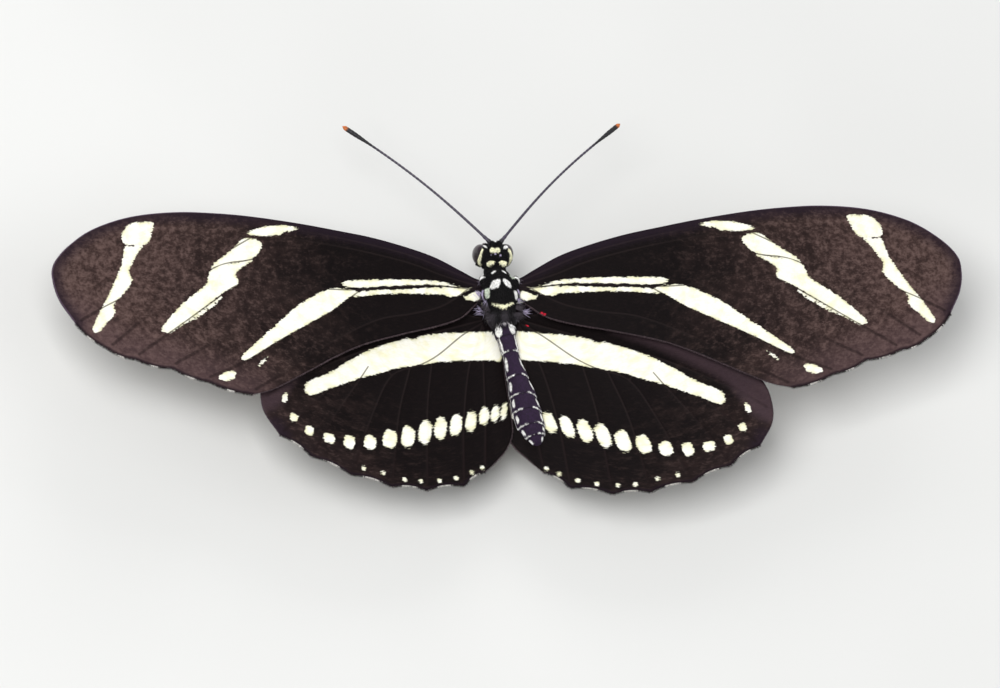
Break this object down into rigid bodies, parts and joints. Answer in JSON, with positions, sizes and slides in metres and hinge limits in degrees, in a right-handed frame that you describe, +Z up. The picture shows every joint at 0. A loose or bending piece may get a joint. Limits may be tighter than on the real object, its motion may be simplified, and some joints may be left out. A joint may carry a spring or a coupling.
{
  "type": "zebra longwing butterfly model",
  "caption": "Long-winged butterfly with spread wings, long clubbed antennae and a slender body, standing on four legs as a still model.",
  "frame": {"origin": "on the floor under the centre of the bounding box", "axes": "+Y towards the head, +Z up from the floor on which the feet stand, X along the wingspan with +X to the animal's right"},
  "size_m": [0.0904, 0.0379, 0.0113],
  "materials": {
    "wing_scales": "matt scaled membrane, brown-black with cream bands",
    "body_scales": "short black scales and hair with cream spots",
    "abdomen_scales": "dark purple-brown scales with white segment edges",
    "eye": "glossy faceted eye",
    "antenna": "satin chitin with fine scales",
    "leg": "scaled chitin, dark grey"
  },
  "bodies": {
    "root": {"thorax": "body_scales", "prothorax": "body_scales", "abdomen": "abdomen_scales", "head": "body_scales", "eye_left": "eye", "eye_right": "eye", "palp_left": "body_scales", "palp_right": "body_scales", "proboscis": "antenna", "antenna_left": "antenna", "antenna_right": "antenna", "forewing_left": "wing_scales", "forewing_right": "wing_scales", "hindwing_left": "wing_scales", "hindwing_right": "wing_scales", "foreleg_left": "leg", "foreleg_right": "leg", "midleg_left": "leg", "midleg_right": "leg", "hindleg_left": "leg", "hindleg_right": "leg"}
  },
  "joints": []
}
